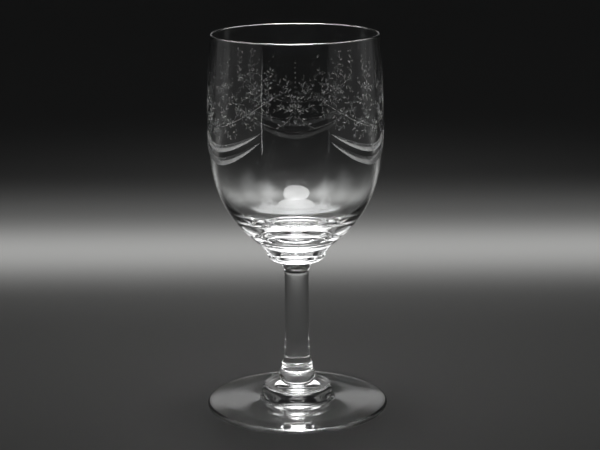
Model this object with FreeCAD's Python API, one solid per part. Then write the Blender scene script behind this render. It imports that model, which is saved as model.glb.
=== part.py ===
import FreeCAD, Part
import os

# Engraved stem wine glass: a thin blown bowl over a stack of fused glass pieces.
# Millimetres, +Z up, origin on the table at the centre of the foot.

# Heights of the fused joints, from the table up
JOINT_FOOT = 3.0
JOINT_BOSS = 9.4
JOINT_RING = 14.4
JOINT_BAND = 17.8
JOINT_STEM = 57.7
JOINT_BUTTON = 61.8
JOINT_MERESE = 64.8
HEIGHT = 145.0

# Bowl
RIM_RADIUS = 31.6
RIM_WALL = 0.9
BELLY_RADIUS = 33.2
BELLY_WALL = 1.1
BELLY_Z = 114.0
BOWL_BASE_RADIUS = 14.7
BOWL_FLOOR_Z = 70.0

# Stack under the bowl
MERESE_RADIUS = 13.6
BUTTON_RADIUS = 11.3

# Stem and the rings at its lower end
STEM_RADIUS = 4.65
STEM_TOP_RADIUS = 5.7
STEM_LOW_RADIUS = 5.3
BAND_RADIUS = 5.95
RING_RADIUS = 7.15

# Foot
BOSS_TOP_RADIUS = 12.75
BOSS_BASE_RADIUS = 13.85
BOSS_COVE = 1.15
FOOT_RADIUS = 35.0
FOOT_EDGE = 1.7
REST_INNER = 27.0
REST_OUTER = 34.2
KICK_DEPTH = 0.8


def point(radius, z):
    return FreeCAD.Vector(radius, 0, z)


def line(*corners):
    """Straight edges through (radius, z) corners."""
    pts = [point(*c) for c in corners]
    return [Part.makeLine(a, b) for a, b in zip(pts, pts[1:])]


def arc(start, middle, end):
    """Round edge through three (radius, z) points."""
    return [Part.Arc(point(*start), point(*middle), point(*end)).toShape()]


def sweep(*poles):
    """Smooth edge that leaves its first pole for the second and arrives from the third."""
    curve = Part.BezierCurve()
    curve.setPoles([point(*p) for p in poles])
    return [curve.toShape()]


def spline(knots, leaving, arriving):
    """Smooth edge through (radius, z) knots, with its two end directions."""
    curve = Part.BSplineCurve()
    curve.interpolate([point(*k) for k in knots],
                      InitialTangent=point(*leaving), FinalTangent=point(*arriving))
    return [curve.toShape()]


def turned(*groups):
    """Solid of revolution about Z of the half section that the edges close."""
    edges = [edge for group in groups for edge in group]
    face = Part.Face(Part.Wire(Part.__sortEdges__(edges)))
    return face.revolve(FreeCAD.Vector(0, 0, 0), FreeCAD.Vector(0, 0, 1), 360)


def make_bowl():
    """Deep bowl, thin at the fire-polished rim and thick at the base."""
    lip = RIM_WALL / 2
    outer = [(RIM_RADIUS, HEIGHT - lip), (BELLY_RADIUS, BELLY_Z), (32.4, 96.0),
             (26.1, 78.0), (BOWL_BASE_RADIUS, JOINT_MERESE + 0.4)]
    inner = [(0, BOWL_FLOOR_Z), (9.0, BOWL_FLOOR_Z + 0.6), (17.5, 73.0), (24.0, 78.2),
             (29.3, 88.4), (31.2, 96.2), (BELLY_RADIUS - BELLY_WALL, BELLY_Z),
             (RIM_RADIUS - RIM_WALL, HEIGHT - lip)]
    rim = arc(outer[0], (RIM_RADIUS - lip, HEIGHT), inner[-1])
    heel = arc(outer[-1], (14.45, JOINT_MERESE + 0.1), (14.2, JOINT_MERESE))
    base = line((14.2, JOINT_MERESE), (0, JOINT_MERESE), inner[0])
    return turned(spline(outer, (0.08, -1), (-1.25, -1)), heel, base,
                  spline(inner, (1, 0), (-0.07, 1)), rim)


def make_upper_merese():
    """Wide ring straight under the bowl, its side sloping inwards."""
    low = JOINT_BUTTON
    high = JOINT_MERESE
    corner = MERESE_RADIUS - 0.1
    heel = BUTTON_RADIUS + 0.3
    shoulder = arc((corner - 0.2, high), (MERESE_RADIUS, high - 0.25), (corner, high - 0.6))
    return turned(line((heel, low), (0, low), (0, high), (corner - 0.2, high)), shoulder,
                  line((corner, high - 0.6), (heel, low)))


def make_button():
    """Rounded button that gathers the stack in to the stem."""
    low = JOINT_STEM
    high = JOINT_BUTTON
    waist = BUTTON_RADIUS - 0.1
    side = line((BUTTON_RADIUS, high), (waist, high - 1.4))
    under = sweep((waist, high - 1.4), (11.0, 58.9), (9.5, 58.2), (STEM_TOP_RADIUS, low))
    return turned(line((STEM_TOP_RADIUS, low), (0, low), (0, high), (BUTTON_RADIUS, high)),
                  side, under)


def make_stem():
    """Plain solid stem with a short collar at the top and a slow flare at the bottom."""
    low = JOINT_BAND
    high = JOINT_STEM
    collar = (STEM_TOP_RADIUS - 0.15, 56.0)
    neck_end = (STEM_RADIUS, 52.5)
    flare = (STEM_RADIUS, 28.0)
    neck = sweep(collar, (5.3, 54.9), (STEM_RADIUS, 54.6), neck_end)
    foot = sweep(flare, (STEM_RADIUS + 0.1, 24.0), (5.0, 20.5), (STEM_LOW_RADIUS, low))
    return turned(line((STEM_LOW_RADIUS, low), (0, low), (0, high), (STEM_TOP_RADIUS, high), collar),
                  neck, line(neck_end, flare), foot)


def make_stem_band():
    """Narrow polished band round the lower end of the stem."""
    low = JOINT_RING
    high = JOINT_BAND
    top = STEM_LOW_RADIUS + 0.1
    base = STEM_LOW_RADIUS + 0.2
    upper = arc((top, high), (BAND_RADIUS - 0.15, high - 0.4), (BAND_RADIUS, high - 1.0))
    side = line((BAND_RADIUS, high - 1.0), (BAND_RADIUS, low + 0.7))
    lower = arc((BAND_RADIUS, low + 0.7), (BAND_RADIUS - 0.1, low + 0.25), (base, low))
    return turned(line((base, low), (0, low), (0, high), (top, high)), upper, side, lower)


def make_stem_ring():
    """Plump ring between the band and the boss."""
    low = JOINT_BOSS
    high = JOINT_RING
    side = sweep((6.0, high), (RING_RADIUS + 0.3, 14.0), (RING_RADIUS + 0.4, 10.4), (6.3, low))
    return turned(line((6.3, low), (0, low), (0, high), (6.0, high)), side)


def make_foot_boss():
    """Stepped boss: a shallow dished top, a rounded steep side and a small cove at the foot."""
    low = JOINT_FOOT
    high = JOINT_BOSS
    shelf = (BOSS_TOP_RADIUS - 0.45, 8.6)
    brow = (BOSS_TOP_RADIUS, 8.1)
    cove_top = (BOSS_BASE_RADIUS, low + 1.2)
    cove_end = (BOSS_BASE_RADIUS + BOSS_COVE, low)
    top = arc((6.3, high), (9.2, 8.75), shelf)
    corner = arc(shelf, (BOSS_TOP_RADIUS - 0.15, 8.5), brow)
    side = sweep(brow, (13.3, 7.2), (13.75, 5.8), cove_top)
    cove = arc(cove_top, (BOSS_BASE_RADIUS + 0.3, low + 0.35), cove_end)
    return turned(line(cove_end, (0, low), (0, high), (6.3, high)), top, corner, side, cove)


def make_foot():
    """Disc foot: its top rises to the boss, its underside is a shallow cone in a flat rest ring."""
    edge = FOOT_EDGE / 2
    inner = BOSS_BASE_RADIUS + BOSS_COVE
    shoulder = (FOOT_RADIUS - edge, FOOT_EDGE)
    top = sweep((inner, JOINT_FOOT), (19.5, 2.45), (28.0, 2.1), shoulder)
    rim = arc(shoulder, (FOOT_RADIUS, edge), (REST_OUTER, 0))
    return turned(line((REST_OUTER, 0), (REST_INNER, 0), (0, KICK_DEPTH),
                       (0, JOINT_FOOT), (inner, JOINT_FOOT)), top, rim)


PIECES = {
    "bowl": make_bowl,
    "upper_merese": make_upper_merese,
    "button": make_button,
    "stem": make_stem,
    "stem_band": make_stem_band,
    "stem_ring": make_stem_ring,
    "foot_boss": make_foot_boss,
    "foot": make_foot,
}

os.makedirs("parts", exist_ok=True)
for name, make in PIECES.items():
    make().exportStep("parts/" + name + ".step")
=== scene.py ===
import math
import bpy
import numpy as np
from mathutils import Euler, Matrix, Vector
from mathutils.geometry import delaunay_2d_cdt


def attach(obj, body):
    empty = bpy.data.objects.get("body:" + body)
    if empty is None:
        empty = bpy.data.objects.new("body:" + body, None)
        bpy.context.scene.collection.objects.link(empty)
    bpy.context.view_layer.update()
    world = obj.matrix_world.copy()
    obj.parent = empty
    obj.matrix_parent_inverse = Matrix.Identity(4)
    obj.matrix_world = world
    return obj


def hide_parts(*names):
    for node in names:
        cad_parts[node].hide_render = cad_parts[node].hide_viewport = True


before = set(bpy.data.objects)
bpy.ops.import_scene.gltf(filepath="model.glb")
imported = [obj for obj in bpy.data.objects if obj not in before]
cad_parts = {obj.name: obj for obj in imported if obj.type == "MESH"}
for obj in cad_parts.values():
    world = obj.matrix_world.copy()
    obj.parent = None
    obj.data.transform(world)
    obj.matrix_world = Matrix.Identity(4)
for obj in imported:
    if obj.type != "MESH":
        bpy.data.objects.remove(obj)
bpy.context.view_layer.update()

MM = 0.001

# ---------------------------------------------------------------- camera

camera = bpy.data.objects.new("camera", bpy.data.cameras.new("camera"))
bpy.context.collection.objects.link(camera)
camera.data.lens = 99.7
camera.data.sensor_width = 36.0
camera.location = (0.00145, -0.6163, 0.2223)
look = Euler((math.radians(90 - 13.74), 0, 0)).to_matrix() @ Matrix.Rotation(math.radians(-0.39), 3, "Z")
camera.rotation_euler = look.to_euler()
bpy.context.scene.camera = camera

# ---------------------------------------------------------------- section curves, in millimetres


def unit(v):
    return np.array(v, float) / np.hypot(*v)


def spline(knots, leaving, arriving, count):
    """Points along the smooth curve through (radius, z) knots, with its two end directions."""
    p = np.array(knots, float)
    n = len(p)
    h = np.hypot(*np.diff(p, axis=0).T)
    rows = np.eye(n)
    rhs = np.zeros((n, 2))
    rhs[0] = unit(leaving)
    rhs[-1] = unit(arriving)
    for i in range(1, n - 1):
        rows[i, i - 1:i + 2] = 1 / h[i - 1], 2 / h[i - 1] + 2 / h[i], 1 / h[i]
        rhs[i] = 3 * ((p[i] - p[i - 1]) / h[i - 1] ** 2 + (p[i + 1] - p[i]) / h[i] ** 2)
    slope = np.linalg.solve(rows, rhs)
    along = np.concatenate([[0], np.cumsum(h)])
    s = np.linspace(0, along[-1], count)
    i = np.clip(np.searchsorted(along, s, side="right") - 1, 0, n - 2)
    w = ((s - along[i]) / h[i])[:, None]
    g = h[i][:, None]
    return (p[i] * (1 + 2 * w) * (1 - w) ** 2 + slope[i] * g * w * (1 - w) ** 2
            + p[i + 1] * w * w * (3 - 2 * w) - slope[i + 1] * g * w * w * (1 - w))


def sweep(*poles, count=14):
    """Points along the curve that leaves its first pole for the second and arrives from the third."""
    p = np.array(poles, float)
    t = np.linspace(0, 1, count)[:, None]
    return ((1 - t) ** 3 * p[0] + 3 * t * (1 - t) ** 2 * p[1]
            + 3 * t * t * (1 - t) * p[2] + t ** 3 * p[3])


def arc(start, middle, end, count=7):
    """Points along the round edge through three (radius, z) points."""
    (ax, ay), (bx, by), (cx, cy) = start, middle, end
    d = 2 * (ax * (by - cy) + bx * (cy - ay) + cx * (ay - by))
    sa, sb, sc = ax * ax + ay * ay, bx * bx + by * by, cx * cx + cy * cy
    ox = (sa * (by - cy) + sb * (cy - ay) + sc * (ay - by)) / d
    oy = (sa * (cx - bx) + sb * (ax - cx) + sc * (bx - ax)) / d
    a0, a1, a2 = (math.atan2(y - oy, x - ox) for x, y in (start, middle, end))
    turn = (a2 - a0) % (2 * math.pi)
    if (a1 - a0) % (2 * math.pi) > turn:
        turn -= 2 * math.pi
    a = a0 + turn * np.linspace(0, 1, count)
    r = math.hypot(ax - ox, ay - oy)
    return np.stack([ox + r * np.cos(a), oy + r * np.sin(a)], 1)


def run(a, b, count=2):
    return np.linspace(a, b, count)


# ---------------------------------------------------------------- turned meshes

# material slots; JOINT is for the faces that are fused to the next piece
# the last slot is a dimmer copy of the bright cut for the back repeat: painted shade
GLASS, JOINT, ENGRAVED, CUT, CUT_PAINTED_SHADE = range(5)


def turned(name, stretches, segments=120):
    """Closed mesh of revolution. stretches are (points, material slot)."""
    points = []
    slots = []
    for pts, slot in stretches:
        for p in pts:
            if points and np.hypot(*(points[-1] - p)) < 1e-4:
                continue
            if points:
                slots.append(slot)
            points.append(np.array(p, float))
    verts = []
    rings = []
    angle = 2 * math.pi * np.arange(segments) / segments
    for r, z in points:
        if r < 1e-6:
            rings.append([len(verts)])
            verts.append((0, 0, z * MM))
        else:
            rings.append(list(range(len(verts), len(verts) + segments)))
            verts += [(r * MM * math.cos(a), r * MM * math.sin(a), z * MM) for a in angle]
    faces = []
    face_slots = []
    for low, high, slot in zip(rings, rings[1:], slots):
        for i in range(segments):
            j = (i + 1) % segments
            if len(low) == 1:
                face = (low[0], high[j], high[i])
            elif len(high) == 1:
                face = (low[i], low[j], high[0])
            else:
                face = (low[i], low[j], high[j], high[i])
            faces.append(face)
            face_slots.append(slot)
    mesh = bpy.data.meshes.new(name)
    mesh.from_pydata(verts, [], faces)
    mesh.polygons.foreach_set("material_index", face_slots)
    mesh.polygons.foreach_set("use_smooth", [True] * len(faces))
    mesh.update()
    piece = bpy.data.objects.new(name, mesh)
    bpy.context.collection.objects.link(piece)
    return piece


# ---------------------------------------------------------------- materials


def node(tree, kind, x, y, **values):
    made = tree.nodes.new(kind)
    made.location = (x, y)
    for key, value in values.items():
        if key in made.inputs:
            made.inputs[key].default_value = value
        else:
            setattr(made, key, value)
    return made


GLASS_IOR = 1.52


def shader(name, colour, transmission):
    material = bpy.data.materials.new(name)
    material.use_nodes = True
    tree = material.node_tree
    principled = tree.nodes["Principled BSDF"]
    principled.inputs["Base Color"].default_value = (*colour, 1)
    principled.inputs["Transmission Weight"].default_value = transmission
    principled.inputs["IOR"].default_value = GLASS_IOR
    return material, tree, principled


def polished(name, colour, smear, wave):
    """Clear blown glass: handling smears in the roughness, slow waves in the surface."""
    material, tree, principled = shader(name, colour, 1.0)
    where = node(tree, "ShaderNodeTexCoord", -1100, 0)
    patches = node(tree, "ShaderNodeTexNoise", -900, 150, Scale=38.0, Detail=4.0, Roughness=0.6)
    fine = node(tree, "ShaderNodeTexNoise", -900, -50, Scale=420.0, Detail=3.0)
    both = node(tree, "ShaderNodeMath", -700, 80, operation="MULTIPLY")
    level = node(tree, "ShaderNodeMapRange", -500, 80)
    level.inputs["From Min"].default_value = 0.2
    level.inputs["From Max"].default_value = 0.45
    level.inputs["To Min"].default_value = 0.0
    level.inputs["To Max"].default_value = smear
    slow = node(tree, "ShaderNodeTexNoise", -900, -300, Scale=55.0, Detail=1.0)
    bump = node(tree, "ShaderNodeBump", -400, -300, Strength=wave, Distance=0.0004)
    tree.links.new(where.outputs["Object"], patches.inputs["Vector"])
    tree.links.new(where.outputs["Object"], fine.inputs["Vector"])
    tree.links.new(where.outputs["Object"], slow.inputs["Vector"])
    tree.links.new(patches.outputs["Fac"], both.inputs[0])
    tree.links.new(fine.outputs["Fac"], both.inputs[1])
    tree.links.new(both.outputs[0], level.inputs["Value"])
    tree.links.new(level.outputs["Result"], principled.inputs["Roughness"])
    tree.links.new(slow.outputs["Fac"], bump.inputs["Height"])
    tree.links.new(bump.outputs["Normal"], principled.inputs["Normal"])
    return material


def ground(name, colour, transmission, low, high, grain):
    """Wheel-cut glass left matt: a fine ground grain in its roughness and surface."""
    material, tree, principled = shader(name, colour, transmission)
    where = node(tree, "ShaderNodeTexCoord", -1100, 0)
    speckle = node(tree, "ShaderNodeTexNoise", -900, 100, Scale=900.0, Detail=4.0)
    level = node(tree, "ShaderNodeMapRange", -600, 100)
    level.inputs["To Min"].default_value = low
    level.inputs["To Max"].default_value = high
    wheel = node(tree, "ShaderNodeTexNoise", -900, -250, Scale=1500.0, Detail=2.0)
    bump = node(tree, "ShaderNodeBump", -400, -250, Strength=grain, Distance=0.00012)
    tree.links.new(where.outputs["Object"], speckle.inputs["Vector"])
    tree.links.new(where.outputs["Object"], wheel.inputs["Vector"])
    tree.links.new(speckle.outputs["Fac"], level.inputs["Value"])
    tree.links.new(level.outputs["Result"], principled.inputs["Roughness"])
    tree.links.new(wheel.outputs["Fac"], bump.inputs["Height"])
    tree.links.new(bump.outputs["Normal"], principled.inputs["Normal"])
    return material


CLEAR = (0.985, 0.99, 0.99)
bowl_glass = polished("bowl_glass", CLEAR, 0.05, 0.08)
stem_glass = polished("stem_glass", CLEAR, 0.03, 0.05)
foot_glass = polished("foot_glass", CLEAR, 0.06, 0.06)
engraved = ground("engraved_matt", (0.97, 0.98, 0.98), 1.0, 0.06, 0.46, 0.25)
cut = ground("cut_bright", (0.97, 0.98, 0.98), 0.72, 0.06, 0.3, 0.3)
# a copy of the bright cut with almost no white scatter and a finer grain, used only on the back repeat:
# painted shade that makes the back swag fainter
cut_painted_shade = ground("cut_painted_shade", (0.97, 0.98, 0.98), 0.97, 0.04, 0.2, 0.15)
fused, fused_tree, fused_shader = shader("fused_joint", (1, 1, 1), 0.0)
fused_shader.inputs["Alpha"].default_value = 0.0

# ---------------------------------------------------------------- engraving on the bowl

REACH = 33.0                    # radius that turns azimuth into millimetres round the bowl
SECTOR = 2 * math.pi / 3
COLUMNS = 60                    # grid columns in one of the three repeats
LOW_Z, HIGH_Z = 96.5, 141.5     # the engraved zone
START = math.radians(-46)       # where one repeat meets the next, beside the garland
TURN = math.radians(-30)        # sets one of the three swags at the back
BACK = 1                        # the repeat that is at the back
CHANCE = np.random.default_rng(12)


class Stroke:
    """One cut of the wheel: a centre line with a half width at each point, and a depth.

    A plain cut is a groove that is deepest on its line. A mitred one has a wide shallow side
    below and a steep narrow side above.
    """

    VALLEY = 0.3        # where a mitred cut is deepest, from -1 at its lower edge to 1 at its upper

    def __init__(self, line, widths, depth, mitred=False, power=1.0):
        self.line = np.array(line, float)
        self.widths = np.array(widths, float)
        self.depth = depth
        self.mitred = mitred
        self.power = power
        step = np.gradient(self.line, axis=0)
        step /= np.linalg.norm(step, axis=1)[:, None]
        side = np.stack([-step[:, 1], step[:, 0]], 1) * self.widths[:, None]
        left = self.line + side
        self.outline = np.concatenate([left, (self.line - side)[::-1]])
        if self.widths[0] < 0.02:
            self.outline = self.outline[:-1]
        if self.widths[-1] < 0.02:
            self.outline = np.delete(self.outline, len(left), axis=0)
        self.rails = [self.line[1:-1] if self.widths[0] < 0.02 else self.line]
        if mitred:
            self.rails = [(self.line + side * share)[2:-2] for share in (-0.6, -0.15, self.VALLEY, 0.7)]
        self.low = self.outline.min(axis=0)
        self.high = self.outline.max(axis=0)

    def mirrored(self):
        return Stroke(self.line * (-1, 1), self.widths, self.depth, self.mitred, self.power)

    def depths(self, points):
        """How deep this cut is at each point, zero outside it."""
        a, b = self.line[:-1], self.line[1:]
        ab = b - a
        t = ((points[:, None] - a) * ab).sum(2) / (ab * ab).sum(1)
        t = np.clip(t, 0, 1)
        off = points[:, None] - (a + ab * t[..., None])
        gap = np.linalg.norm(off, axis=2)
        width = self.widths[:-1] * (1 - t) + self.widths[1:] * t
        nearest = gap.argmin(axis=1)
        pick = np.arange(len(points)), nearest
        share = gap[pick] / np.maximum(width[pick], 1e-6)
        fall = 1 - share ** (1 + self.power)
        if self.mitred:
            share *= np.sign(ab[nearest, 0] * off[pick][:, 1] - ab[nearest, 1] * off[pick][:, 0])
            fall = np.minimum((share + 1) / (self.VALLEY + 1), (1 - share) / (1 - self.VALLEY))
        reach = np.clip(width[pick] / self.widths.max(), 0, 1)
        return self.depth * np.clip(fall, 0, 1) * reach ** 0.6


def leaf(root, angle, length, width, depth=0.16, bend=0.0, points=7):
    """A pointed leaf with a valley down its middle."""
    t = np.linspace(0, 1, points)
    heading = angle + bend * (t - 0.5)
    step = length / (points - 1)
    line = np.array(root) + np.concatenate([[[0, 0]], np.cumsum(
        np.stack([np.cos(heading[:-1]), np.sin(heading[:-1])], 1) * step, axis=0)])
    widths = width * np.sin(math.pi * t ** 0.8) ** 0.85
    widths[0] = widths[-1] = 0
    return Stroke(line, widths, depth, power=0.0)


def vine(points, width, depth=0.07):
    return Stroke(points, np.full(len(points), width), depth, power=1.0)


def bead(centre, radius, depth=0.12):
    """A round punt cut."""
    c = np.array(centre, float)
    t = np.linspace(-1, 1, 7)
    widths = radius * np.sqrt(np.clip(1 - t ** 2, 0, 1))
    line = c + np.stack([t * radius, t * 0], 1)
    return Stroke(line, widths, depth, power=1.0)


def crescent(half_angle, tip_z, deep_z, thickness, depth):
    """A long bright swag cut, thin at its two tips and thick at its lowest point."""
    t = np.linspace(-1, 1, 41)
    u = t * math.radians(half_angle) * REACH
    fall = (1 - np.abs(t) ** 1.7)
    v = tip_z + (deep_z - tip_z) * fall
    widths = thickness / 2 * (1 - np.abs(t) ** 2.2)
    widths[0] = widths[-1] = 0
    return Stroke(np.stack([u, v], 1), widths, depth, mitred=True)


def spray(cuts, root, angle, length, bend, leaves, size):
    """A curved sprig with small leaves on alternate sides."""
    t = np.linspace(0, 1, 12)
    heading = angle + bend * t
    steps = np.stack([np.cos(heading[:-1]), np.sin(heading[:-1])], 1) * length / 11
    line = np.array(root) + np.concatenate([[[0, 0]], np.cumsum(steps, axis=0)])
    cuts.append(Stroke(line, np.linspace(0.13, 0.06, 12), 0.035))
    for k in range(leaves):
        s = (k + 0.6 + CHANCE.uniform(-0.25, 0.25)) / (leaves + 0.3)
        at = np.array([np.interp(s, t, line[:, 0]), np.interp(s, t, line[:, 1])])
        way = 1 if k % 2 else -1
        turn = np.interp(s, t, heading) + way * CHANCE.uniform(0.55, 1.05)
        at = at + 0.16 * np.array([math.cos(turn), math.sin(turn)])
        grow = size * (1 - 0.45 * s) * CHANCE.uniform(0.75, 1.2)
        cuts.append(leaf(at, turn, grow, grow * 0.19, CHANCE.uniform(0.04, 0.1), bend=-0.6 * way, points=6))
    cuts.append(leaf(line[-1], heading[-1], size * 0.6, size * 0.12, 0.07, points=5))


def side_spray(cuts, side, *shape):
    """A sprig drawn for the right-hand side, and mirrored where side is -1."""
    sprig = []
    spray(sprig, *shape)
    cuts += [c.mirrored() if side < 0 else c for c in sprig]


def flower(cuts, centre, radius, petals, turn=0.0):
    """A small open flower: pointed petals round a punt."""
    c = np.array(centre, float)
    for k in range(petals):
        a = turn + 2 * math.pi * k / petals
        way = np.array([math.cos(a), math.sin(a)])
        cuts.append(leaf(c + way * radius * 0.28, a, radius * 0.78, radius * 0.2,
                         CHANCE.uniform(0.07, 0.13), points=6))
    cuts.append(bead(c, radius * 0.2, 0.08))


def garland(u):
    return 112.8 + 12.0 * (abs(u) / 25.0) ** 1.5


def swag_motifs():
    """Everything in one repeat, in (round, up) millimetres from the swag's centre."""
    cuts = [crescent(38.5, 113.0, 105.0, 2.7, 0.5), crescent(38.5, 110.0, 100.1, 2.9, 0.55)]
    flower(cuts, (0, garland(0) + 0.6), 2.9, 7, 0.3)
    for side in (-1, 1):
        us = np.linspace(2.9, 25.6, 18)
        cuts.append(vine([(side * u, garland(u)) for u in us], 0.13, 0.04))
        for u, radius, petals in ((8.6, 2.0, 6), (16.4, 2.4, 7), (24.2, 1.9, 6)):
            flower(cuts, (side * u, garland(u) + 0.4), radius, petals, CHANCE.uniform(0, 1))
        for u, lean, length, bend, leaves, size in (
                (3.6, 0.25, 11.5, -0.5, 8, 2.5), (6.2, -0.3, 7.0, 0.7, 5, 2.2),
                (10.8, 0.3, 15.0, -0.7, 10, 2.4), (13.6, -0.2, 8.5, 0.6, 6, 2.4),
                (19.0, 0.15, 13.0, 0.4, 9, 2.3), (21.4, -0.45, 8.0, 0.5, 5, 2.2),
                (25.0, -0.1, 10.0, -0.3, 8, 2.2)):
            side_spray(cuts, side, (u, garland(u) + 0.7), math.pi / 2 - lean, length, bend, leaves, size)
        for u, lean, length, leaves in ((2.6, -0.4, 3.6, 3), (5.6, 0.5, 4.4, 4), (11.6, -0.3, 5.0, 4),
                                        (14.4, 0.6, 4.6, 4), (19.6, -0.2, 5.4, 5), (22.4, 0.5, 5.0, 4)):
            side_spray(cuts, side, (u, garland(u) - 0.6), -math.pi / 2 + lean, length, 0.4, leaves, 1.9)
        for u, z in ((1.9, 121.5), (7.4, 128.2), (9.2, 131.6), (15.2, 131.0), (17.2, 134.4), (23.4, 134.6)):
            cuts.append(bead((side * u, z), 0.34, 0.06))
    return cuts


def drop_motifs():
    """The string of beads and the leafy knot that hang between two swags."""
    c = math.radians(60) * REACH
    cuts = []
    for k in range(8):
        cuts.append(bead((c + CHANCE.uniform(-0.15, 0.15), 138.4 - 1.7 * k), 0.24 + 0.03 * k, 0.06))
    flower(cuts, (c, 122.4), 2.3, 6, 0.5)
    for side in (-1, 1):
        for z, lean, length, leaves in ((125.0, 0.5, 8.5, 6), (121.4, 1.5, 4.6, 4), (119.6, 2.5, 6.4, 5)):
            spray(cuts, (c + side, z), math.pi / 2 - side * lean, length, side * 0.5, leaves, 2.0)
    cuts.append(leaf((c, 119.8), -math.pi / 2, 3.4, 0.6, 0.1))
    return cuts


def inside(points, polygon):
    """Which points lie inside a closed outline."""
    x, y = points[:, 0], points[:, 1]
    hit = np.zeros(len(points), bool)
    for (x0, y0), (x1, y1) in zip(polygon, np.roll(polygon, -1, axis=0)):
        crosses = (y0 > y) != (y1 > y)
        with np.errstate(divide="ignore", invalid="ignore"):
            at = (x1 - x0) * (y - y0) / (y1 - y0) + x0
        hit ^= crosses & (x < at)
    return hit


def engraved_sector():
    """Triangles of one repeat.

    Returns the (round, up) place of each point and its depth, then the triangles, the cut that
    each is part of (-1 for none), and whether that cut is mitred.
    """
    left = START * REACH
    right = (START + SECTOR) * REACH
    cuts = [c for c in swag_motifs() + drop_motifs() if c.low[0] > left + 0.4 and c.high[0] < right - 0.4]
    us = np.linspace(left, right, COLUMNS + 1)
    vs = np.linspace(LOW_Z, HIGH_Z, 33)
    near = np.zeros((len(us), len(vs)), bool)
    grid = np.stack(np.meshgrid(us, vs, indexing="ij"), 2)
    flat = grid.reshape(-1, 2)
    for c in cuts:
        box = np.all((flat > c.low - 0.5) & (flat < c.high + 0.5), axis=1)
        if box.any():
            pick = np.flatnonzero(box)
            a, b = c.outline, np.roll(c.outline, -1, axis=0)
            ab = b - a
            t = np.clip(((flat[pick][:, None] - a) * ab).sum(2) / np.maximum((ab * ab).sum(1), 1e-9), 0, 1)
            gap = np.linalg.norm(flat[pick][:, None] - (a + ab * t[..., None]), axis=2).min(axis=1)
            near.reshape(-1)[pick] |= (gap < 0.35) | inside(flat[pick], c.outline)
    near[0, :] = near[-1, :] = False
    near[:, 0] = near[:, -1] = False
    points = []
    edges = []

    def path(pts, closed):
        first = len(points)
        points.extend(map(tuple, pts))
        last = len(points)
        edges.extend((i, i + 1) for i in range(first, last - 1))
        if closed:
            edges.append((last - 1, first))

    border = [(u, vs[0]) for u in us] + [(us[-1], v) for v in vs[1:]]
    border += [(u, vs[-1]) for u in us[-2::-1]] + [(us[0], v) for v in vs[-2:0:-1]]
    path(border, True)
    for i in range(1, len(us) - 1):
        for j in range(1, len(vs) - 1):
            if not near[i, j]:
                points.append((us[i], vs[j]))
    for c in cuts:
        path(c.outline, True)
        for rail in c.rails:
            path(rail, False)
    out, _, tris, _, _, _ = delaunay_2d_cdt([Vector(p) for p in points], edges, [], 0, 1e-4)
    out = np.array([tuple(v) for v in out])
    tris = np.array(tris)
    depth = np.zeros(len(out))
    middle = out[tris].mean(axis=1)
    owner = np.full(len(tris), -1)
    for k, c in enumerate(cuts):
        pick = np.flatnonzero(np.all((out > c.low - 1e-3) & (out < c.high + 1e-3), axis=1))
        depth[pick] = np.maximum(depth[pick], c.depths(out[pick]))
        pick = np.flatnonzero(np.all((middle > c.low) & (middle < c.high), axis=1))
        pick = pick[inside(middle[pick], c.outline)]
        owner[pick] = np.where(owner[pick] < 0, k, owner[pick])
    touched = np.zeros(len(out), bool)
    touched[tris[owner >= 0].reshape(-1)] = True
    depth[~touched] = 0
    mitred = np.array([c.mitred for c in cuts] + [False])
    return out, depth, tris, owner, mitred[owner]


# ---------------------------------------------------------------- the bowl

RIM, WALL, BELLY_Z, TOP = 31.6, 0.9, 114.0, 145.0
FLOOR_Z, BASE_Z = 70.0, 64.8
lip = WALL / 2
outer = spline([(RIM, TOP - lip), (33.2, BELLY_Z), (32.4, 96.0), (26.1, 78.0), (14.7, BASE_Z + 0.4)],
               (0.08, -1), (-1.25, -1), 240)
inner = spline([(0, FLOOR_Z), (9, 70.6), (17.5, 73.0), (24.0, 78.2), (29.3, 88.4), (31.2, 96.2),
                (32.1, BELLY_Z), (RIM - WALL, TOP - lip)], (1, 0), (-0.07, 1), 90)


def wall(z):
    """Outer radius of the bowl at a height."""
    return np.interp(z, outer[::-1, 1], outer[::-1, 0])


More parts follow.
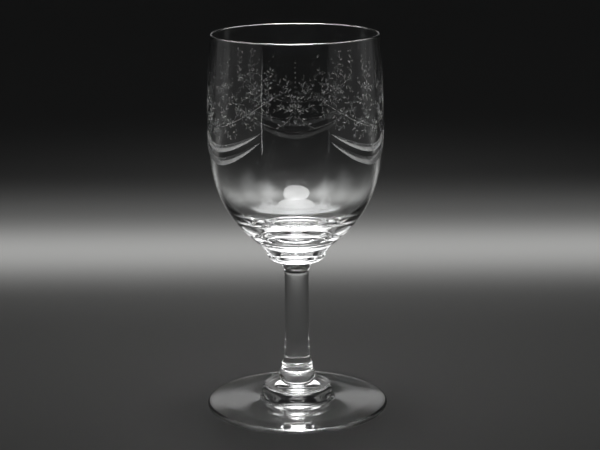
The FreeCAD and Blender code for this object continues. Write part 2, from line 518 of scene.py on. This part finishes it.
def make_bowl():
    total = 3 * COLUMNS
    angle = START + SECTOR * np.arange(total) / COLUMNS + TURN
    below = outer[outer[:, 1] < LOW_Z - 0.3][::-1][::4]
    above = outer[outer[:, 1] > HIGH_Z + 0.2][::-1]
    heel = arc((14.2, BASE_Z), (14.45, BASE_Z + 0.1), (14.7, BASE_Z + 0.4), 5)
    lower = [(0, BASE_Z), (13.3, BASE_Z)] + [tuple(p) for p in heel]
    lower += [tuple(p) for p in below if p[1] > BASE_Z + 0.8] + [(float(wall(LOW_Z)), LOW_Z)]
    upper = [(float(wall(HIGH_Z)), HIGH_Z)] + [tuple(p) for p in above[::3]]
    if upper[-1][1] < TOP - lip - 1e-3:
        upper.append((RIM, TOP - lip))
    rim = arc((RIM, TOP - lip), (RIM - lip, TOP), (RIM - WALL, TOP - lip), 9)
    upper += [tuple(p) for p in rim[1:]] + [tuple(p) for p in inner[::-1][1:]]

    verts = []
    faces = []
    slots = []
    normals = []    # one per corner of each face

    def normal_of(path, k, a):
        before = np.array(path[max(k - 1, 0)])
        after = np.array(path[min(k + 1, len(path) - 1)])
        d = after - before
        n = unit((d[1], -d[0]))
        return n[0] * math.cos(a), n[0] * math.sin(a), n[1]

    def band(path, fused_below):
        rings = []
        shades = []
        for k, (r, z) in enumerate(path):
            if r < 1e-6:
                rings.append([len(verts)] * total)
                verts.append((0, 0, z))
            else:
                rings.append(list(range(len(verts), len(verts) + total)))
                verts.extend((r * math.cos(a), r * math.sin(a), z) for a in angle)
            if k == 0 and r < 1e-6 or (fused_below and k <= 2):
                shades.append([(0, 0, -1)] * total)
            elif r < 1e-6:
                shades.append([(0, 0, 1)] * total)
            else:
                shades.append([normal_of(path, k, a) for a in angle])
        for k in range(len(path) - 1):
            slot = JOINT if fused_below and k < 1 else GLASS
            for i in range(total):
                j = (i + 1) % total
                corners = [(rings[k][i], shades[k][i]), (rings[k][j], shades[k][j]),
                           (rings[k + 1][j], shades[k + 1][j]), (rings[k + 1][i], shades[k + 1][i])]
                seen = set()
                corners = [c for c in corners if not (c[0] in seen or seen.add(c[0]))]
                faces.append([c[0] for c in corners])
                normals.append([c[1] for c in corners])
                slots.append(slot)

    band(lower, True)
    band(upper, False)

    out, depth, tris, owner, mitred = engraved_sector()
    lift = np.gradient(outer[::-1, 0], outer[::-1, 1])
    for turn in range(3):
        base = len(verts)
        a = out[:, 0] / REACH + turn * SECTOR + TURN
        cut_share = 0.4 if turn == BACK else 1.0    # the repeat at the back is cut more lightly
        r = wall(out[:, 1]) - depth * cut_share
        verts.extend(zip(r * np.cos(a), r * np.sin(a), out[:, 1]))
        lean = np.interp(out[:, 1], outer[::-1, 1], lift)
        size = np.sqrt(1 + lean ** 2)
        smooth = np.stack([np.cos(a) / size, np.sin(a) / size, -lean / size], 1)
        pos = np.stack([r * np.cos(a), r * np.sin(a), out[:, 1]], 1)
        cross = np.cross(pos[tris[:, 1]] - pos[tris[:, 0]], pos[tris[:, 2]] - pos[tris[:, 0]])
        flipped = (cross * smooth[tris[:, 0]]).sum(1) < 0
        order = np.where(flipped[:, None], tris[:, ::-1], tris)
        cross = np.where(flipped[:, None], -cross, cross)
        soft = np.zeros((len(out), 3))
        for column in range(3):
            np.add.at(soft, order[mitred][:, column], cross[mitred])
        soft /= np.maximum(np.linalg.norm(soft, axis=1), 1e-12)[:, None]
        facet = cross / np.maximum(np.linalg.norm(cross, axis=1), 1e-12)[:, None]
        for t, own, smooth_cut, n in zip(order, owner, mitred, facet):
            faces.append([base + int(v) for v in t])
            if own < 0:
                normals.append([tuple(smooth[v]) for v in t])
                slots.append(GLASS)
            elif smooth_cut:
                normals.append([tuple(soft[v]) for v in t])
                # the back repeat takes the dimmer copy of the cut material: painted shade
                slots.append(CUT_PAINTED_SHADE if turn == BACK else CUT)
            else:
                normals.append([tuple(n)] * 3)
                slots.append(ENGRAVED)

    keys = {}
    index = []
    kept = []
    for v in verts:
        key = tuple(int(round(c * 2000)) for c in v)
        if key not in keys:
            keys[key] = len(kept)
            kept.append(tuple(c * MM for c in v))
        index.append(keys[key])
    clean = []
    clean_slots = []
    clean_normals = []
    for f, s, n in zip(faces, slots, normals):
        g = [index[v] for v in f]
        if len(set(g)) == len(g):
            clean.append(g)
            clean_slots.append(s)
            clean_normals += n
    mesh = bpy.data.meshes.new("bowl_engraved")
    mesh.from_pydata(kept, [], clean)
    mesh.polygons.foreach_set("material_index", clean_slots)
    mesh.polygons.foreach_set("use_smooth", [True] * len(clean))
    mesh.update()
    mesh.normals_split_custom_set(clean_normals)
    piece = bpy.data.objects.new("bowl_engraved", mesh)
    bpy.context.collection.objects.link(piece)
    for material in (bowl_glass, fused, engraved, cut, cut_painted_shade):
        mesh.materials.append(material)
    return piece


# ---------------------------------------------------------------- the stack, stem and foot


def dress(piece, material):
    piece.data.materials.append(material)
    piece.data.materials.append(fused)
    return piece


def sharp(piece, degrees=32):
    """Rounds the shading except across edges sharper than this."""
    piece.data.set_sharp_from_angle(angle=math.radians(degrees))
    return piece


def make_upper_merese():
    shoulder = arc((13.3, 64.8), (13.6, 64.55), (13.5, 64.2))
    return turned("upper_merese_glass", [
        (run((0, 61.8), (11.3, 61.8)), JOINT), (run((11.3, 61.8), (11.6, 61.8)), GLASS),
        (run((11.6, 61.8), (13.5, 64.2), 5), GLASS), (shoulder[::-1], GLASS),
        (run((13.3, 64.8), (0, 64.8)), JOINT)])


def make_button():
    under = sweep((11.2, 60.4), (11.0, 58.9), (9.5, 58.2), (5.7, 57.7), count=18)
    return turned("button_glass", [
        (run((0, 57.7), (5.7, 57.7)), JOINT), (under[::-1], GLASS),
        (run((11.2, 60.4), (11.3, 61.8), 3), GLASS), (run((11.3, 61.8), (0, 61.8)), JOINT)])


def make_stem():
    neck = sweep((5.55, 56.0), (5.3, 54.9), (4.65, 54.6), (4.65, 52.5), count=16)
    flare = sweep((4.65, 28.0), (4.75, 24.0), (5.0, 20.5), (5.3, 17.8), count=16)
    return turned("stem_glass_rod", [
        (run((0, 17.8), (5.3, 17.8)), JOINT), (flare[::-1], GLASS),
        (run((4.65, 28.0), (4.65, 52.5), 14), GLASS), (neck[::-1], GLASS),
        (run((5.55, 56.0), (5.7, 57.7), 3), GLASS), (run((5.7, 57.7), (0, 57.7)), JOINT)])


def make_stem_band():
    lower = arc((5.95, 15.1), (5.85, 14.65), (5.5, 14.4))
    upper = arc((5.4, 17.8), (5.8, 17.4), (5.95, 16.8))
    return turned("stem_band_glass", [
        (run((0, 14.4), (5.5, 14.4)), JOINT), (lower[::-1], GLASS),
        (run((5.95, 15.1), (5.95, 16.8), 4), GLASS), (upper[::-1], GLASS),
        (run((5.4, 17.8), (5.3, 17.8)), GLASS), (run((5.3, 17.8), (0, 17.8)), JOINT)])


def make_stem_ring():
    side = sweep((6.0, 14.4), (7.45, 14.0), (7.55, 10.4), (6.3, 9.4), count=20)
    return turned("stem_ring_glass", [
        (run((0, 9.4), (6.3, 9.4)), JOINT), (side[::-1], GLASS),
        (run((6.0, 14.4), (5.5, 14.4)), GLASS), (run((5.5, 14.4), (0, 14.4)), JOINT)])


def make_foot_boss():
    top = arc((6.3, 9.4), (9.2, 8.75), (12.3, 8.6), 12)
    corner = arc((12.3, 8.6), (12.6, 8.5), (12.75, 8.1))
    side = sweep((12.75, 8.1), (13.3, 7.2), (13.75, 5.8), (13.85, 4.2), count=12)
    cove = arc((13.85, 4.2), (14.15, 3.35), (15.0, 3.0), 9)
    return turned("foot_boss_glass", [
        (run((0, 3.0), (15.0, 3.0)), JOINT), (cove[::-1], GLASS), (side[::-1], GLASS),
        (corner[::-1], GLASS), (top[::-1], GLASS), (run((6.3, 9.4), (0, 9.4)), JOINT)])


def make_foot():
    top = sweep((15.0, 3.0), (19.5, 2.45), (28.0, 2.1), (34.15, 1.7), count=24)
    rim = arc((34.15, 1.7), (35.0, 0.85), (34.2, 0), 11)
    return turned("foot_glass_disc", [
        (run((0, 0.8), (27.0, 0), 18), GLASS), (run((27.0, 0), (34.2, 0), 6), GLASS),
        (rim[::-1], GLASS), (top[::-1], GLASS), (run((15.0, 3.0), (0, 3.0)), JOINT)], 160)


PIECES = [
    (make_bowl(), "bowl", "bowl_glass"),
    (dress(sharp(make_upper_merese()), stem_glass), "upper_merese", "stem_glass"),
    (dress(sharp(make_button()), stem_glass), "button", "stem_glass"),
    (dress(sharp(make_stem()), stem_glass), "stem", "stem_glass"),
    (dress(sharp(make_stem_band()), stem_glass), "stem_band", "stem_glass"),
    (dress(sharp(make_stem_ring()), stem_glass), "stem_ring", "stem_glass"),
    (dress(sharp(make_foot_boss()), foot_glass), "foot_boss", "foot_glass"),
    (dress(sharp(make_foot()), foot_glass), "foot", "foot_glass"),
]
for piece, replaced, slot in PIECES:
    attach(piece, "root")
    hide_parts(replaced)

# ---------------------------------------------------------------- floor, backdrop and lights


def make_stage():
    """A pale round floor that sweeps up into the backdrop."""
    cove = [(1.25 + 0.35 * math.sin(a), 0.35 - 0.35 * math.cos(a))
            for a in np.linspace(0, math.pi / 2, 12)]
    path = [(0.0, 0.0), (0.1, 0), (0.3, 0), (0.7, 0)] + cove + [(1.6, 2.2)]
    sides = 96
    verts = [(0, 0, 0)]
    for r, z in path[1:]:
        verts += [(r * math.cos(2 * math.pi * i / sides), r * math.sin(2 * math.pi * i / sides), z)
                  for i in range(sides)]
    faces = [(0, 1 + i, 1 + (i + 1) % sides) for i in range(sides)]
    for k in range(len(path) - 2):
        a = 1 + k * sides
        b = a + sides
        faces += [(a + i, b + i, b + (i + 1) % sides, a + (i + 1) % sides) for i in range(sides)]
    mesh = bpy.data.meshes.new("floor")
    mesh.from_pydata(verts, [], faces)
    mesh.polygons.foreach_set("use_smooth", [True] * len(faces))
    mesh.update()
    floor = bpy.data.objects.new("floor", mesh)
    bpy.context.collection.objects.link(floor)
    material = bpy.data.materials.new("paper_floor")
    material.use_nodes = True
    paper = material.node_tree.nodes["Principled BSDF"]
    paper.inputs["Base Color"].default_value = (0.5, 0.5, 0.49, 1)
    paper.inputs["Roughness"].default_value = 0.9
    mesh.materials.append(material)
    return floor


def area_light(name, place, target, size, power, spread=180):
    data = bpy.data.lights.new(name, "AREA")
    data.shape = "RECTANGLE"
    data.size, data.size_y = size
    data.energy = power
    data.spread = math.radians(spread)
    lamp = bpy.data.objects.new(name, data)
    lamp.location = place
    lamp.rotation_euler = (Vector(target) - Vector(place)).to_track_quat("-Z", "Y").to_euler()
    bpy.context.collection.objects.link(lamp)
    return lamp


FLOOR_GAP = 0.0003      # keeps the floor off the flat ring under the foot
make_stage().location.z = -FLOOR_GAP

# the floor's own light: a soft level and a brighter band behind the glass
area_light("floor_level", (0, 0.13, 1.1), (0, 0.13, 0), (0.34, 0.34), 0.07, 41)
area_light("floor_band", (0, 0.238, 0.55), (0, 0.238, 0), (1.1, 0.05), 0.13, 15)
area_light("floor_glow", (0, 0.265, 0.55), (0, 0.265, 0), (1.1, 0.1), 0.115, 28)

# softboxes that only the glass sees, so that the floor stays even
glass = bpy.data.collections.new("glass")
upper_glass = bpy.data.collections.new("upper_glass")
foot_glassware = bpy.data.collections.new("foot_glassware")
for piece, node_name, _ in PIECES:
    glass.objects.link(piece)
    on_foot = node_name in ("stem_band", "stem_ring", "foot_boss", "foot")
    (foot_glassware if on_foot else upper_glass).objects.link(piece)


def softbox(name, place, target, size, power, soft=0.5, through=True, lights=glass):
    """A light for the glass alone, whose edges fade over a share of its half size."""
    lamp = area_light(name, place, target, size, power)
    lamp.light_linking.receiver_collection = lights
    lamp.visible_camera = False
    lamp.visible_transmission = through
    lamp.data.use_nodes = True
    tree = lamp.data.node_tree
    where = node(tree, "ShaderNodeNewGeometry", -900, 0)
    split = node(tree, "ShaderNodeSeparateXYZ", -700, 0)
    level = node(tree, "ShaderNodeMath", 100, 0, operation="MULTIPLY")
    tree.links.new(where.outputs["Parametric"], split.inputs["Vector"])
    for axis in (0, 1):
        off = node(tree, "ShaderNodeMath", -500, -200 * axis, operation="SUBTRACT")
        off.inputs[1].default_value = 0.5
        away = node(tree, "ShaderNodeMath", -300, -200 * axis, operation="ABSOLUTE")
        fade = node(tree, "ShaderNodeMapRange", -100, -200 * axis, interpolation_type="SMOOTHSTEP")
        fade.inputs["From Min"].default_value = 0.5
        fade.inputs["From Max"].default_value = 0.5 - 0.5 * soft
        tree.links.new(split.outputs[axis], off.inputs[0])
        tree.links.new(off.outputs[0], away.inputs[0])
        tree.links.new(away.outputs[0], fade.inputs["Value"])
        tree.links.new(fade.outputs["Result"], level.inputs[axis])
    path = node(tree, "ShaderNodeLightPath", 100, -400)
    direct = node(tree, "ShaderNodeMath", 300, -300, operation="LESS_THAN")
    direct.inputs[1].default_value = 0.5
    strength = node(tree, "ShaderNodeMath", 500, 0, operation="MULTIPLY")
    tree.links.new(path.outputs["Diffuse Depth"], direct.inputs[0])
    tree.links.new(level.outputs[0], strength.inputs[0])
    tree.links.new(direct.outputs[0], strength.inputs[1])
    tree.links.new(strength.outputs[0], tree.nodes["Emission"].inputs["Strength"])
    return lamp


# the points that the softboxes are turned to
BOWL_BASE = (0, 0, 0.08)
BOWL_SIDE = (0, 0, 0.09)
FOOT = (0, 0, 0)

for name, place in (("lamp_front", (0, -0.28, 0.76)), ("lamp_top", (0, 0.1, 0.78))):
    lamp = softbox(name, place, BOWL_BASE, (0.46, 0.46), 26, soft=0.15)
    lamp.data.shape = "DISK"
    lamp.visible_diffuse = False
for lights, power in ((upper_glass, 16), (foot_glassware, 6)):
    ceiling = softbox("ceiling", (0, 0.39, 0.67), (0, 0.02, 0.08), (1.0, 0.56), power,
                      soft=0.4, lights=lights)
    ceiling.visible_diffuse = False
softbox("front_strip", (0, -0.62, 0.42), FOOT, (1.5, 0.1), 5, through=False, lights=foot_glassware)
softbox("front_fill", (0, -0.7, 0.15), FOOT, (1.0, 0.16), 2.6, soft=0.9, through=False,
        lights=foot_glassware)
softbox("rear", (0, 0.72, 0.26), FOOT, (0.55, 0.12), 0.1, soft=0.6)
for side, edge_power in ((-1, 0.034), (1, 0.006)):
    softbox("shoulder", (side * 0.36, -0.15, 0.55), BOWL_SIDE, (0.42, 0.5), 3.6, soft=0.9)
    softbox("wall", (side * 0.52, 0.05, 0.39), BOWL_SIDE, (0.6, 0.4), 1.0, soft=0.9)
    softbox("low_wall", (side * 0.42, -0.08, 0.14), (0, -0.08, 0.14), (0.76, 0.28), 0.15,
            soft=0.15, through=False)
    softbox("edge", (side * 0.3, -0.333, 0.05), (0, 0, 0.05), (0.014, 0.2), edge_power,
            soft=0.6, through=False)

world = bpy.data.worlds.new("world")
bpy.context.scene.world = world
world.use_nodes = True
world.node_tree.nodes["Background"].inputs["Color"].default_value = (0.5, 0.51, 0.53, 1)
world.node_tree.nodes["Background"].inputs["Strength"].default_value = 0.05
bpy.context.scene.view_settings.view_transform = "Standard"

cycles = bpy.context.scene.cycles
cycles.max_bounces = 28
cycles.transmission_bounces = 26
cycles.glossy_bounces = 12
cycles.transparent_max_bounces = 40
